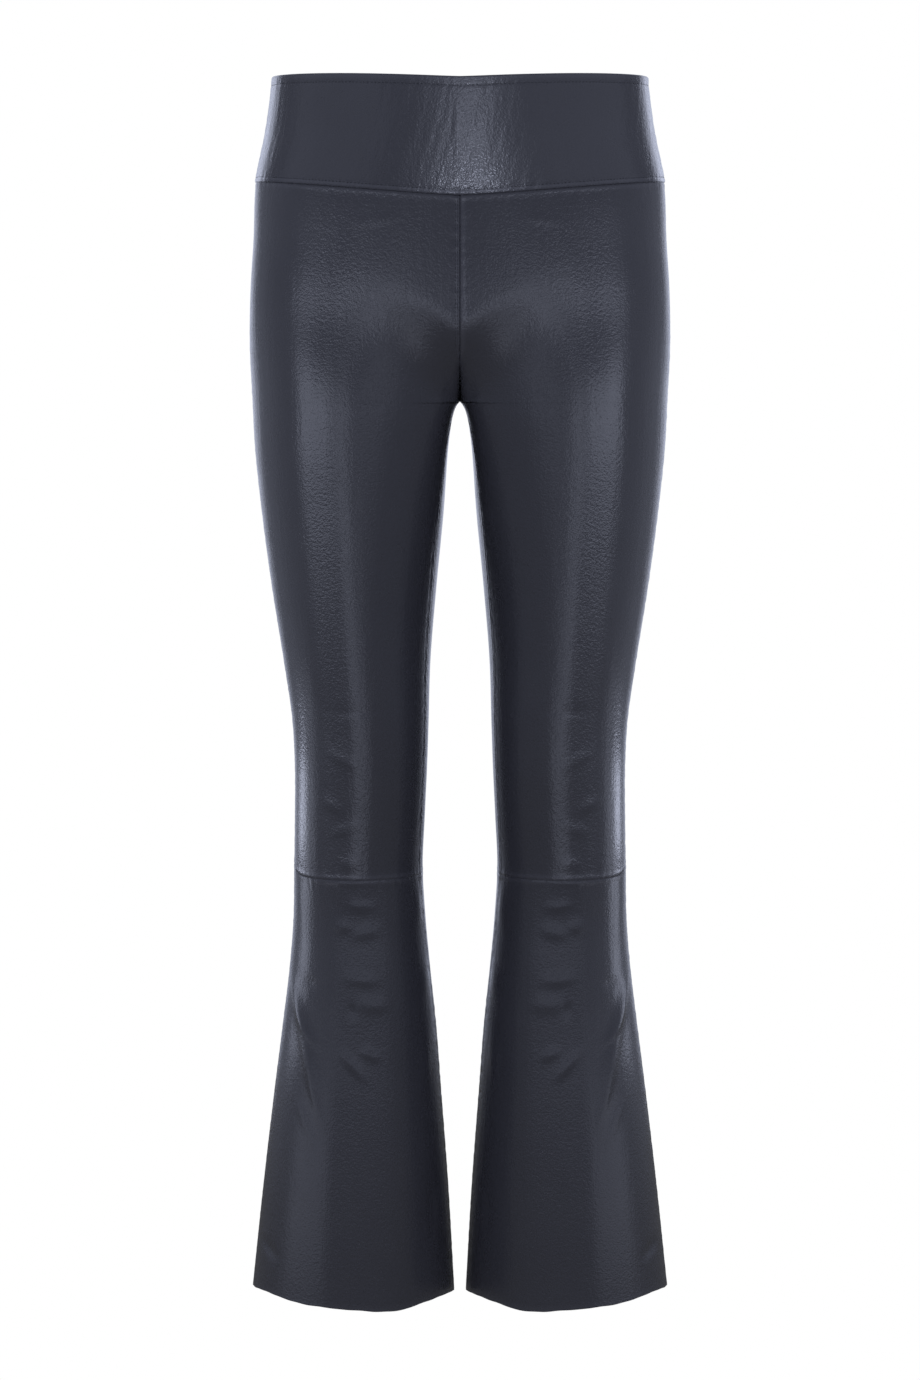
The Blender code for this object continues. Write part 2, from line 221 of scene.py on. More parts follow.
@dataclass(frozen=True)
class WornForm:
    """The form that the leather lies on: two legs that run together into one seat above the crotch. A place
    on it is across, 0 at the centre seam or the inseam and 1 at the side seam, and a height."""

    side_join: tuple[float, float] = (54.0, 118.0)
    centre_reach: float = 0.14
    centre_join: float = 50.0
    centre_turn: float = 0.35
    crotch_opens: float = 4.5  # how far below the crotch the legs part
    grip: int = 20  # how narrow a strip beside the inseam is drawn in there
    step: float = 0.01
    leg: SizeCurves = SizeCurves(LegLevel, LEG_LEVELS)
    seat: SizeCurves = SizeCurves(SeatLevel, SEAT_LEVELS)

    def face_size(self, curves: SizeCurves, is_front: Array, height: Array) -> Array:
        """How far forward or back the middle of each place's face is."""
        return np.where(is_front, curves.at("front_y", height), curves.at("back_y", height))

    def joined(self, face: Face, across: Array, height: Array) -> tuple[Array, Array]:
        """Points of the left half with the legs run together but for the middle.

        Args:
            face: front or back.
            across: how far across each place is.
            height: their heights.

        Returns:
            The points, and how far forward or back the leg alone is there.
        """
        outer_x, inner_x = self.leg.at("outer_x", height), self.leg.at("inner_x", height)
        turn = np.where(height < CROTCH, np.radians(np.maximum(self.leg.at("inseam_turn", height), 0)), 0)
        half_turn = pi - turn if face is Face.FRONT else -pi - turn
        angle = (1 - across) * half_turn
        is_front = np.sin(angle) >= 0
        along = np.cos(angle)
        pull = inner_x * np.exp(-np.maximum((CROTCH - height) / self.crotch_opens, 0))
        x = (outer_x + inner_x) / 2 + (outer_x - inner_x) / 2 * along - pull * ((1 - along) / 2) ** self.grip

        share = (1 + along) / 2
        middle_y, corner = (
            self.leg.at(f"inner_{size}", height) * (1 - share) + self.leg.at(f"outer_{size}", height) * share
            for size in ("y", "corner")
        )
        inside = np.maximum(1 - along**2, 0)
        leg_y = middle_y + (self.face_size(self.leg, is_front, height) - middle_y) * inside ** (corner / 2)

        outer_y, fullness = self.leg.at("outer_y", height), self.seat.at("fullness", height)
        inside = np.maximum(1 - np.abs(x / outer_x) ** fullness, 0)
        seat_y = outer_y + (self.face_size(self.seat, is_front, height) - outer_y) * inside ** (1 / fullness)
        join = self.side_join[0] + (self.side_join[1] - self.side_join[0]) * np.minimum(across / 0.5, 1)
        rise = np.clip((height - CROTCH) / join, 0, 1)
        y = seat_y + (1 - rise**2) ** 3 * (leg_y - seat_y)
        return np.stack([x, y, height], axis=-1), leg_y

    def point(self, face: Face, across: Array, height: Array) -> Array:
        """Points of the left half. Beside the centre seam the leather lies level across it, down to where it
        turns under between the legs.

        Args:
            face: front or back.
            across: how far across each place is.
            height: their heights.

        Returns:
            The points, in an array with x, y and z last.
        """
        points, leg_y = self.joined(face, across, height)
        reach = np.full_like(height, self.centre_reach)
        edge, _ = self.joined(face, reach, height)
        past, _ = self.joined(face, reach + self.step, height)
        slope = (past[..., 1] - edge[..., 1]) / (past[..., 0] - edge[..., 0])
        level_y = edge[..., 1] - slope * (edge[..., 0] ** 2 - points[..., 0] ** 2) / (2 * edge[..., 0])
        rise = np.clip((height - CROTCH) / self.centre_join, 0, 1)
        turned = (1 - (1 - rise) ** 2) ** self.centre_turn
        nearness = (1 - np.minimum(across / self.centre_reach, 1) ** 2) ** 2
        level_y = level_y + (leg_y - level_y) * nearness * (1 - turned)
        beside = (height > CROTCH) & (across < self.centre_reach)
        points[..., 1] = np.where(beside, level_y, points[..., 1])
        return points

    def facing(self, face: Face, across: Array, height: Array) -> Array:
        """The way the form faces, and on a seam half way between the two pieces that meet at it.

        Args:
            face: front or back.
            across: how far across each place is.
            height: their heights.

        Returns:
            Unit normals, in an array with x, y and z last.
        """
        above = height > CROTCH
        before = np.where(above, np.maximum(across - self.step, 0), across - self.step)
        sideways = self.point(face, across + self.step, height) - self.point(face, before, height)
        downwards = self.point(face, across, height - 0.5) - self.point(face, across, height + 0.5)
        pair = (downwards, sideways) if face is Face.FRONT else (sideways, downwards)
        outwards = np.cross(*pair)
        on_centre = (across == 0) & (height > CROTCH - self.step)
        outwards[..., 0] = np.where(on_centre, 0, outwards[..., 0])
        at_crotch = on_centre & (height < CROTCH + self.step)
        outwards[at_crotch] = (0, 0, -1)
        return outwards / np.linalg.norm(outwards, axis=-1, keepdims=True)


FORM = WornForm()


def from_centre(across: Array) -> Array:
    """How far out a place lies, as a share of the half width."""
    return (1 - np.cos(pi * across)) / 2


def top_edge(face: Face, across: Array) -> Array:
    """The height of the waistband's top edge."""
    dip = 4.5 if face is Face.FRONT else -4.0
    return -dip * (1 - from_centre(across)) ** 1.5


def waist_seam(face: Face, across: Array) -> Array:
    """The height of the seam under the waistband, which dips to the centre."""
    dip = 12.8 if face is Face.FRONT else 8.0
    return WAIST_SEAM - dip * (1 - from_centre(across) ** 1.1)


def knee_seam(face: Face, across: Array) -> Array:
    """The height of the seam across below the knee, which rises to the side seam."""
    rise = bell(1 - across, 0.12) if face is Face.FRONT else across
    return KNEE_SEAM + 6.5 * rise


def hem_edge(face: Face, across: Array) -> Array:
    """The height of the raw hem. In front it is cut lower inside the middle and higher by the side seam.

    Args:
        face: front or back.
        across: how far across each place is.

    Returns:
        The height at each place.
    """
    level = HEM - 1.5 * np.sin(pi * across) + 3.0 * across**3 + 0.25 * wavering(across * 200, 23.0, 5)
    if face is Face.BACK:
        return level
    low = 3.8 * bell(across - 0.36, 0.12) + 1.2 * bell(across, 0.1)
    return level - low + 2.2 * bell(across - 0.8, 0.11)


def lengths_along(points: Array) -> Array:
    """How far along a line of points, or along each column of a grid of them, each one is."""
    steps = np.linalg.norm(np.diff(points, axis=0), axis=-1)
    return np.concatenate([np.zeros_like(steps[:1]), np.cumsum(steps, axis=0)])


def part_way(where: float, along: Array, values: Array) -> list[float]:
    """The values at one distance along a line whose points have these distances and values."""
    return [np.interp(where, along, column) for column in values.T]


def bell(off: Array, width: float) -> Array:
    """A smooth bump, 1 at its middle, which has died away at twice its width."""
    return np.exp(-((off / width) ** 2))


@dataclass(frozen=True)
class Swell:
    """A rounded rise beside a line, or a hollow where height is negative: how high it is, how far from the
    line its crest lies, and how wide it is."""

    height: float
    off: float
    width: float

    def at(self, distance: Array) -> Array:
        """How high it is at these distances from the line."""
        return self.height * bell(distance - self.off, self.width)


# Beside a seam the leather puffs up, puckers and is worn paler, with a painted highlight on its lip, and
# along a row of stitches it sinks and puckers.
PUFF, PUCKER, RUBBED_SHEEN = Swell(0.2, 1.9, 1.5), Swell(0.16, 3.0, 3.4), Swell(0.35, 2.2, 1.6)
CHANNEL, STITCH_PUCKER = Swell(-0.22, 0.0, 0.9), Swell(0.12, 0.0, 3.2)


def wavering(along: Array, spacing: float, seed: int) -> Array:
    """An uneven wave.

    Args:
        along: the distance along it.
        spacing: about how far apart its crests are.
        seed: which wave of its kind it is.

    Returns:
        Its height, from about -1 to 1.
    """
    chance = np.random.default_rng(seed)
    wave = np.zeros_like(along, dtype=float)
    for stretch in (0.62, 0.87, 1.0, 1.31, 1.73):
        start, height = chance.uniform(0, 2 * pi), chance.uniform(0.5, 1)
        wave += np.sin(2 * pi * along / (spacing * stretch) + start) * height
    return wave / 2.4


# ---- the creases ----


@dataclass(frozen=True)
class Crease:
    """A soft ridge in the leather, or a trough where height is negative. Its path is seen square on, in x
    from the centre line and z. Fade is the share of it over which each end dies out, and lean is how much
    wider it is on its lower or outer side than on the other."""

    path: tuple[tuple[float, float], ...]
    height: float
    width: float
    lean: float = 1.0
    fade: float = 0.5

    def lift(self, x: Array, z: Array) -> Array:
        """How far it lifts the leather.

        Args:
            x: the places' distances from the centre line.
            z: their heights.

        Returns:
            The lift at each place.
        """
        knots = self.smooth_path()
        starts = lengths_along(knots)
        nearest = np.full(x.shape, np.inf)
        share, side = np.zeros(x.shape), np.zeros(x.shape)
        for (ax, az), (bx, bz), start, end in zip(knots[:-1], knots[1:], starts[:-1], starts[1:]):
            length = end - start
            run_x, run_z = (bx - ax) / length, (bz - az) / length
            along = np.clip((x - ax) * run_x + (z - az) * run_z, 0, length)
            off_x, off_z = x - ax - along * run_x, z - az - along * run_z
            distance = np.hypot(off_x, off_z)
            closer = distance < nearest
            nearest = np.where(closer, distance, nearest)
            share = np.where(closer, (start + along) / starts[-1], share)
            side = np.where(closer, off_x * run_z - off_z * run_x, side)
        rise = np.clip(np.minimum(share, 1 - share) / self.fade, 0, 1)
        taper = rise * rise * (3 - 2 * rise)
        width = np.where(side >= 0, self.width * self.lean, self.width)
        return self.height * taper * bell(nearest, width)

    def smooth_path(self) -> Array:
        """The path with its corners rounded, as points."""
        knots = np.array(self.path, float)
        for _ in range(3 if len(knots) > 2 else 0):
            near, far = knots[:-1] * 0.75 + knots[1:] * 0.25, knots[:-1] * 0.25 + knots[1:] * 0.75
            between = np.stack([near, far], axis=1).reshape(-1, 2)[1:-1]
            knots = np.concatenate([knots[:1], between, knots[-1:]])
        return knots


# Path, height, width, lean and fade of each crease, by the start of its panel's name.
CREASES = {
    "front_upper": (
        (((88, -117), (60, -112.5), (38, -110)), 0.22, 2.4, 1.8),
        (((78, -257), (62, -249), (49, -239)), -0.35, 7, 1.5),
        (((110, -489), (80, -489), (50, -486)), -0.3, 2.2, 2.0),
        (((108, -517), (92, -525), (74, -535)), 0.35, 3, 1.5),
        (((112, -553), (100, -562), (86, -568)), 0.4, 3, 1.5),
        (((104, -586), (90, -581), (74, -574)), 0.4, 3, 1.5),
        (((97, -605), (85, -608), (73, -605)), 0.5, 4, 1.2),
    ),
    "front_lower": (
        # Long folds that fall from the side seam and fan out down the calf.
        (((131, -692), (129.5, -712), (126, -728), (118, -744), (107, -755)), 1, 2.3, 1.7, 0.3),
        (((130, -706), (124, -736), (120, -760), (113, -800)), 1.5, 4.0, 1.4, 0.35),
        (((126, -712), (119, -745), (113, -790), (109, -830)), 0.8, 3.2, 1.3, 0.4),
        (((118, -775), (106, -816)), 0.5, 2.2, 1.4),
        (((132, -785), (122, -808), (113, -836)), 0.5, 2.6, 1.4),
        (((127, -699), (118, -702), (108, -706)), -0.7, 5),
        # Soft swells under the knee seam and down the shin.
        (((107, -621.6), (86, -622.2), (66, -621.6)), 0.3, 1.2),
        (((92, -637), (76, -641), (60, -640)), 0.7, 3.4, 1.2),
        (((102, -654), (90, -657), (80, -654)), 0.7, 4.2, 1.2),
        (((88, -663), (72, -661), (58, -656)), 0.8, 4.6, 1.2),
        (((96, -693), (76, -699), (56, -697)), 0.7, 4.0, 1.2),
        (((84, -713), (66, -719), (50, -715)), 0.7, 5.0, 1.2),
        (((84, -712), (83, -722), (83.5, -731)), -0.7, 2.4),
        (((80, -700), (79.6, -780), (80.5, -872)), 0.35, 2.4, 1, 0.2),
        # A pair that meet in a V.
        (((97, -749), (84, -764), (71, -780)), 0.9, 2.8, 1.5),
        (((80, -751), (70, -756), (60, -762)), 0.8, 2.8, 1.5),
        # Beside the inseam.
        (((32, -620), (33, -640), (32, -667)), 0.8, 4),
        (((27, -684), (28, -704), (27, -724)), 0.9, 4),
        (((25.6, -730), (27, -760), (26, -798)), 0.9, 4),
        (((21, -846), (22, -880), (20, -918)), -0.9, 4),
        # Down the side of the calf, and by the outer corner of the hem.
        (((126, -604), (125, -640), (121, -680)), 0.5, 4.5),
        (((155, -904), (150, -915), (142, -924)), -0.9, 4),
    ),
    "back_upper_left": (
        # Behind the knee the slack gathers in bows between the seams, with one that runs across them.
        (((124, -500), (96, -516), (58, -521)), 1.9, 7, 1.3),
        (((127, -529), (92, -548), (52, -551)), 2.9, 7.5, 1.3),
        (((42, -530), (68, -549), (98, -577)), 1.5, 6, 1.3),
        (((114, -567), (78, -574), (36, -561)), 2.2, 6.5, 1.3),
        (((124, -586), (88, -600), (54, -596)), 1.8, 7, 1.3),
        (((56, -466), (80, -480), (108, -474)), 0.8, 6, 1.3),
        # Under the seat.
        (((150, -246), (96, -282), (44, -288)), -1.7, 13),
        (((112, -312), (84, -326), (58, -322)), 0.8, 9, 1.4),
        (((60, -224), (84, -240), (112, -238)), -0.7, 9, 1.2),
    ),
    "back_upper_right": (
        (((122, -506), (84, -519), (48, -507)), 2.1, 7, 1.3),
        (((127, -543), (88, -549), (46, -534)), 2.8, 8, 1.3),
        (((118, -538), (92, -560), (66, -586)), 1.4, 6, 1.3),
        (((112, -572), (84, -581), (50, -570)), 2.0, 6, 1.3),
        (((121, -595), (80, -599), (40, -585)), 1.8, 7, 1.3),
        (((60, -474), (88, -488), (112, -482)), 0.7, 6, 1.3),
        (((150, -250), (98, -284), (44, -285)), -1.6, 13),
        (((104, -304), (80, -316), (52, -314)), 0.8, 9, 1.4),
        (((66, -222), (90, -236), (118, -232)), -0.6, 9, 1.2),
    ),
    "back_lower_left": (
        (((132, -690), (114, -742), (92, -806)), 2.0, 9, 1.3),
        (((48, -700), (62, -760), (66, -830)), 1.4, 8, 1.3),
        (((110, -636), (80, -644), (46, -640)), 1.3, 6, 1.3),
    ),
    "back_lower_right": (
        (((134, -696), (118, -752), (98, -822)), 1.8, 9, 1.3),
        (((44, -692), (56, -748), (64, -806)), 1.4, 8, 1.3),
        (((114, -640), (84, -650), (54, -644)), 1.3, 6, 1.3),
    ),
    "waistband_front": ((((-2.5, -12), (-2.2, -40), (-2.5, -70)), 0.25, 1.6, 1, 0.3),),
    "waistband_back": ((((40, -20), (42, -60)), 0.5, 6), (((-46, -24), (-44, -66)), 0.5, 6)),
}


# ---- the finishes ----


def linear(hex_colour: str) -> tuple[float, float, float, float]:
    """An sRGB hex colour as the linear one that shaders take."""
    channels = [int(hex_colour[i : i + 2], 16) / 255 for i in (1, 3, 5)]
    return (*[c / 12.92 if c <= 0.04045 else ((c + 0.055) / 1.055) ** 2.4 for c in channels], 1.0)


def add_node(tree: NodeTree, kind: str, inputs: dict | None = None, **settings: object) -> Node:
    """Adds a node to a tree.

    Args:
        tree: the tree.
        kind: the shader node's type, such as Math.
        inputs: for each input's name or number, a value, or another node's output to link.
        settings: the node's own settings.

    Returns:
        The node.
    """
    node = tree.nodes.new(f"ShaderNode{kind}")
    for name, value in settings.items():
        setattr(node, name, value)
    for name, value in (inputs or {}).items():
        if isinstance(value, NodeSocket):
            tree.links.new(value, node.inputs[name])
        else:
            node.inputs[name].default_value = value
    return node


def add_object(name: str, data: bpy.types.ID) -> Object:
    """Puts a mesh, a light or a camera into the scene as an object of its own."""
    item = bpy.data.objects.new(name, data)
    bpy.context.collection.objects.link(item)
    return item


def mesh_of(shape: bmesh.types.BMesh, name: str) -> Mesh:
    """Makes a shape into a mesh of this name and frees it."""
    mesh = bpy.data.meshes.new(name)
    shape.to_mesh(mesh)
    shape.free()
    return mesh


def new_material(name: str) -> tuple[Material, NodeTree, Node]:
    """A new material of this name, its node tree and its plain shader."""
    material = bpy.data.materials.new(name)
    material.use_nodes = True
    return material, material.node_tree, material.node_tree.nodes["Principled BSDF"]


@dataclass(frozen=True)
class StretchNappa:
    """Stretch lambskin nappa, drum-dyed navy under a thin gloss finish: an almost smooth skin with a fine
    grain, an even colour with a faint cloudiness, and broad highlights with a little bite."""

    name: str = "stretch_nappa_leather"
    colour: str = "#343439"
    cloud: str = "#2f2f34"
    # Paler beside every edge: worn leather, with a painted highlight on the seams' puffed lips.
    rubbed: str = "#434349"
    grain_mm: float = 1.3  # the real grain is about 0.8 mm, too fine to show
    roughness: float = 0.26
    rub: float = 0.03  # how much duller or shinier it is in patches
    specular: float = 0.35
    gloss: float = 0.3
    gloss_roughness: float = 0.13

    def build(self) -> Material:
        """Builds the material."""
        material, tree, shader = new_material(self.name)
        places = add_node(tree, "TexCoord").outputs["Object"]
        upright = add_node(tree, "Mapping", {"Vector": places, "Scale": (1, 1, 0.12)}).outputs["Vector"]
        # Clouds 55 mm across, rubs of 18 mm, the skin's unevenness of 2.4 mm, and pulls 5 mm wide.
        clouds, rubs, slack, pulls = (
            add_node(tree, "TexNoise", {"Vector": at, "Scale": scale, "Detail": detail}).outputs["Fac"]
            for at, scale, detail in ((places, 18, 3), (places, 55, 4), (places, 420, 2), (upright, 190, 2))
        )
        # The attribute lightens the leather beside its edges: worn paler there, with a painted highlight on
        # the puffed lips of the seams.
        wear = add_node(tree, "Attribute", attribute_name="wear").outputs["Fac"]
        colour = linear(self.cloud)
        for pattern, shade in ((clouds, self.colour), (wear, self.rubbed)):
            shades = {"Factor": pattern, 6: colour, 7: linear(shade)}
            colour = add_node(tree, "Mix", shades, data_type="RGBA").outputs[2]
        tree.links.new(colour, shader.inputs["Base Color"])

        spans = {"From Min": 0.3, "From Max": 0.7}
        spans |= {"To Min": self.roughness - self.rub, "To Max": self.roughness + self.rub}
        roughness = add_node(tree, "MapRange", {"Value": rubs, **spans}).outputs["Result"]
        tree.links.new(roughness, shader.inputs["Roughness"])

        pebbles = {"Vector": places, "Scale": 1 / (self.grain_mm * MM), "Randomness": 1.0}
        pebbles = add_node(tree, "TexVoronoi", pebbles).outputs["Distance"]
        normal = {}
        for height, depth in ((pulls, 0.00017), (slack, 0.00018), (pebbles, -0.00008)):
            bump = {"Height": height, "Strength": 1.0, "Distance": depth, **normal}
            normal = {"Normal": add_node(tree, "Bump", bump).outputs["Normal"]}
        tree.links.new(normal["Normal"], shader.inputs["Normal"])
        tree.links.new(normal["Normal"], shader.inputs["Coat Normal"])
        shader.inputs["Specular IOR Level"].default_value = self.specular
        shader.inputs["Coat Weight"].default_value = self.gloss
        shader.inputs["Coat Roughness"].default_value = self.gloss_roughness
        return material


@dataclass(frozen=True)
class FibrousFinish:
    """A matt finish in two shades, mottled by its fibres or striped by its wales. Relief is how strongly the
    pattern stands out."""

    name: str
    dark: str
    light: str
    roughness: float
    scale: float
    detail: float = 0.0
    relief: float = 0.0
    sheen: float = 0.0
    is_knit: bool = False

    def build(self) -> Material:
        """Builds the material."""
        material, tree, shader = new_material(self.name)
        if self.is_knit:
            places = add_node(tree, "UVMap", uv_map="cloth").outputs["UV"]
            waves = {"Vector": places, "Scale": self.scale, "Distortion": 1.5}
            pattern = add_node(tree, "TexWave", waves).outputs["Fac"]
        else:
            places = add_node(tree, "TexCoord").outputs["Object"]
            noise = {"Vector": places, "Scale": self.scale, "Detail": self.detail}
            pattern = add_node(tree, "TexNoise", noise).outputs["Fac"]
        shades = {"Factor": pattern, 6: linear(self.dark), 7: linear(self.light)}
        colour = add_node(tree, "Mix", shades, data_type="RGBA").outputs[2]
        tree.links.new(colour, shader.inputs["Base Color"])
        if self.relief:
            bump = {"Height": pattern, "Strength": self.relief, "Distance": 0.0003}
            tree.links.new(add_node(tree, "Bump", bump).outputs["Normal"], shader.inputs["Normal"])
        shader.inputs["Roughness"].default_value = self.roughness
        shader.inputs["Sheen Weight"].default_value = self.sheen
        return material


WALE_MM = 1.6  # the real wales are about 0.8 mm apart, too fine to show
WAVE = 0.314  # how far apart the bands of a wave texture of scale 1 are
# Brushed jersey bonded behind the leather: matt and slightly fuzzy, with fine lengthwise wales.
BACKING = FibrousFinish(
    "brushed_jersey_backing", "#1c1e24", "#23252c", roughness=0.9, scale=WAVE / (WALE_MM * MM), relief=0.5,
    sheen=0.2, is_knit=True,
)
# The cut through the leather: fibrous and matt, a little greyer than the dyed face, with fibres of 0.7 mm.
CUT_EDGE = FibrousFinish(
    "raw_cut_leather_edge", "#202228", "#2b2d34", roughness=0.85, scale=1400, detail=3, relief=0.4
)
# Polyester sewing thread, dyed to match: a fine twist of 0.45 mm with a slight silky shine.
THREAD = FibrousFinish("polyester_thread", "#181a21", "#23252e", roughness=0.5, scale=2200, detail=1)


@dataclass(frozen=True)
class Finishes:
    """The materials of the trousers."""

    leather: Material
    backing: Material
    cut_edge: Material
    thread: Material


# ---- the panels ----


@dataclass(frozen=True)
class StitchLine:
    """A row of stitches along one edge of a panel. Edge is inner, outer, top or foot; from_edge is how far
    in the row lies, and first and last are where it starts and stops, as shares of the edge."""

    edge: str
    from_edge: float
    first: float = 0.0
    last: float = 1.0
    pitch: float = 3.0
    length: float = 2.2
    thickness: float = 0.42
    flat: float = 0.4  # half its depth, as a share of its thickness
    proud: float = 0.15  # how far out its middle lies, as a share of its thickness


class LeatherPanel:
    """One cut piece of leather: an outer face with its seams, creases and stitches, an inner face, a rim."""

    # What each kind of panel says about itself.
    mirror = 1
    first_share = 0.0
    column_step: float
    inner_finish = top_finish = foot_finish = Edge.SEWN
    stitch_lines: tuple[StitchLine, ...] = ()

    def __init__(self, name: str, face: Face, thickness: float, finishes: Finishes) -> None:
        """Takes what every panel has.

        Args:
            name: the CAD node that it lies on.
            face: front or back.
            thickness: how thick it is.
            finishes: the materials.
        """
        self.name, self.face, self.thickness, self.thread = name, face, thickness, finishes.thread
        self.materials = (finishes.leather, finishes.backing, finishes.cut_edge)
        rows = next(rows for start, rows in CREASES.items() if name.startswith(start))
        self.creases = [Crease(*row) for row in rows]
        self.stitches: Object | None = None

    def rows(self) -> Array:
        """The nominal heights of the rows of points, from the top down."""
        raise NotImplementedError

    def height_at(self, share: Array, row: float) -> Array:
        """The heights of places along a row."""
        raise NotImplementedError

    def ripple(self) -> Array | float:
        """How the leather ripples between its seams."""
        return 0.0

    def column_distances(self, width: float, count: int) -> Array:
        """How far along a row each column is: closer together beside the edges."""
        steps = np.array(EDGE_STEPS)
        middle = np.linspace(steps[-1], width - steps[-1], count - 2 * len(steps) + 3)[1:-1]
        return np.concatenate([steps, middle, width - steps[::-1]])

    def lay_out(self) -> None:
        """Works out the grid of points of the outer and inner face, in millimetres."""
        sample = np.linspace(self.first_share, 1, 401)
        rows, lengths = self.rows(), []
        for row in rows:
            line = FORM.point(self.face, np.abs(sample), self.height_at(np.abs(sample), row))
            line[:, 0] *= np.where(sample < 0, -1, 1)
            lengths.append(lengths_along(line))
        widths = np.array([along[-1] for along in lengths])[:, None]
        count = int(widths.max() / self.column_step)
        self.from_inner = np.array([self.column_distances(width, count) for width in widths[:, 0]])
        self.from_outer = widths - self.from_inner
        share = np.array([np.interp(here, along, sample) for here, along in zip(self.from_inner, lengths)])
        share[:, 0], share[:, -1] = sample[0], sample[-1]
        across = np.abs(share)
        height = np.array([self.height_at(here, row) for here, row in zip(across, rows)])
        self.form = FORM.point(self.face, across, height)
        self.outwards = FORM.facing(self.face, across, height)
        for grid in (self.form, self.outwards):
            grid[..., 0] *= np.where(share < 0, -1, 1) * self.mirror
        self.from_top = lengths_along(self.form)
        self.from_foot = self.from_top[-1:] - self.from_top

        sides = np.minimum(self.from_inner, self.from_outer)
        near = np.minimum.reduce([sides, self.from_top, self.from_foot])
        x = self.form[..., 0] * self.mirror
        folds = sum(crease.lift(x, self.form[..., 2]) for crease in self.creases)
        folds = folds * np.clip(sides / CREASE_FADE, 0, 1) ** 0.7
        outer_lift = self.thickness - LEATHER + folds + self.seam_relief()
        inner_lift = -LEATHER + folds - ALLOWANCE * np.exp(-near / ALLOWANCE_WIDTH)
        self.outside = self.form + self.outwards * outer_lift[..., None]
        self.inside = self.form + self.outwards * inner_lift[..., None]
        # Paler leather beside every edge: worn there, with a painted highlight on the puffed lip.
        self.wear = RUBBED_SHEEN.at(near)

    def edges(self) -> dict[str, tuple[Array, Array, Edge]]:
        """The edges: for each, how far in from it and how far along it each place is, and its finish."""
        return {
            "inner": (self.from_inner, self.from_top, self.inner_finish),
            "outer": (self.from_outer, self.from_top, Edge.SEWN),
            "top": (self.from_top, self.from_inner, self.top_finish),
            "foot": (self.from_foot, self.from_inner, self.foot_finish),
        }

    def seam_relief(self) -> Array:
        """How the outside rises and sinks beside the seams, with their puckers and channels of stitches."""
        relief = 0
        for seed, (distance, along, finish) in enumerate(self.edges().values(), 11):
            radius, depth = finish.value
            inside = np.clip(1 - distance / radius, 0, 1)
            relief = relief - depth * (1 - np.sqrt(1 - inside**2))
            if finish in (Edge.SEWN, Edge.CENTRE_SEAM):
                wave = wavering(along, PUCKER_SPACING, seed + len(self.name))
                relief = relief + PUFF.at(distance) + wave * PUCKER.at(distance)
        for line in self.stitch_lines:
            distance, along, _ = self.edges()[line.edge]
            off, wave = distance - line.from_edge, wavering(along, STITCH_SPACING, 31)
            relief = relief + CHANNEL.at(off) + wave * STITCH_PUCKER.at(off)
        return relief + self.ripple()

    def build(self) -> None:
        """Builds the panel as a slab on its outer and inner points."""
        self.lay_out()
        row_count, column_count = self.from_top.shape
        slab = bmesh.new()
        bmesh.ops.create_grid(slab, x_segments=column_count - 1, y_segments=row_count - 1, size=1)
        under = bmesh.ops.extrude_face_region(slab, geom=slab.faces[:], use_keep_orig=True)["geom"]
        under_points = [item for item in under if isinstance(item, bmesh.types.BMVert)]
        bmesh.ops.translate(slab, verts=under_points, vec=(0, 0, -1))
        bmesh.ops.recalc_face_normals(slab, faces=slab.faces)
        if (self.face is Face.FRONT) != (self.mirror == 1):  # the grid would lie inside out
            bmesh.ops.reverse_faces(slab, faces=slab.faces)
        mesh = mesh_of(slab, f"{self.name}_leather")

        plain = np.empty(len(mesh.vertices) * 3)
        mesh.vertices.foreach_get("co", plain)
        plain = plain.reshape(-1, 3)
        place = (
            np.rint((1 - plain[:, 1]) / 2 * (row_count - 1)).astype(int),
            np.rint((plain[:, 0] + 1) / 2 * (column_count - 1)).astype(int),
        )
        is_inner = plain[:, 2] < -0.5
        points = np.where(is_inner[:, None], self.inside[place], self.outside[place]) * MM
        mesh.vertices.foreach_set("co", points.astype(np.float32).ravel())

        corners = np.empty(len(mesh.loops), int)
        mesh.loops.foreach_get("vertex_index", corners)
        uv = np.stack([self.from_inner[place], -self.from_top[place]], axis=1) * MM
        mesh.uv_layers.new(name="cloth").uv.foreach_set("vector", uv[corners].astype(np.float32).ravel())
        inner_corners = is_inner[corners].reshape(-1, 4).sum(axis=1)
        is_whole = [inner_corners == 0, inner_corners == 4]
        region = np.select(is_whole, [Region.OUTSIDE.value, Region.INSIDE.value], Region.RIM.value)
        mesh.polygons.foreach_set("material_index", region.astype(np.int32))
        # The paler band beside the edges, worn and with a painted highlight, on the outside only.
        wear = mesh.attributes.new("wear", "FLOAT", "POINT")
        wear.data.foreach_set("value", (self.wear[place] * ~is_inner).astype(np.float32))
        for material in self.materials:
            mesh.materials.append(material)
        mesh.update()
        mesh.shade_smooth()
        mesh.set_sharp_from_angle(angle=radians(65))
        self.object = add_object(mesh.name, mesh)

    def line_points(self, line: StitchLine) -> tuple[Array, Array]:
        """The points of a row of stitches on the outer face, and the way it faces there.

        Args:
            line: the row.

        Returns:
            Points and normals in millimetres, one for each row or column of the panel.
        """
        grids = self.edges()[line.edge][0], self.outside, self.outwards
        if line.edge in ("top", "foot"):
            grids = [np.swapaxes(grid, 0, 1) for grid in grids]
        last = len(grids[0]) - 1
        points, normals = [], []
        for i in range(int(line.first * last), int(line.last * last) + 1):
            order = np.argsort(grids[0][i])
            distance, outside, outwards = (grid[i][order] for grid in grids)
            points.append(part_way(line.from_edge, distance, outside))
            normals.append(part_way(line.from_edge, distance, outwards))
        return np.array(points), np.array(normals)

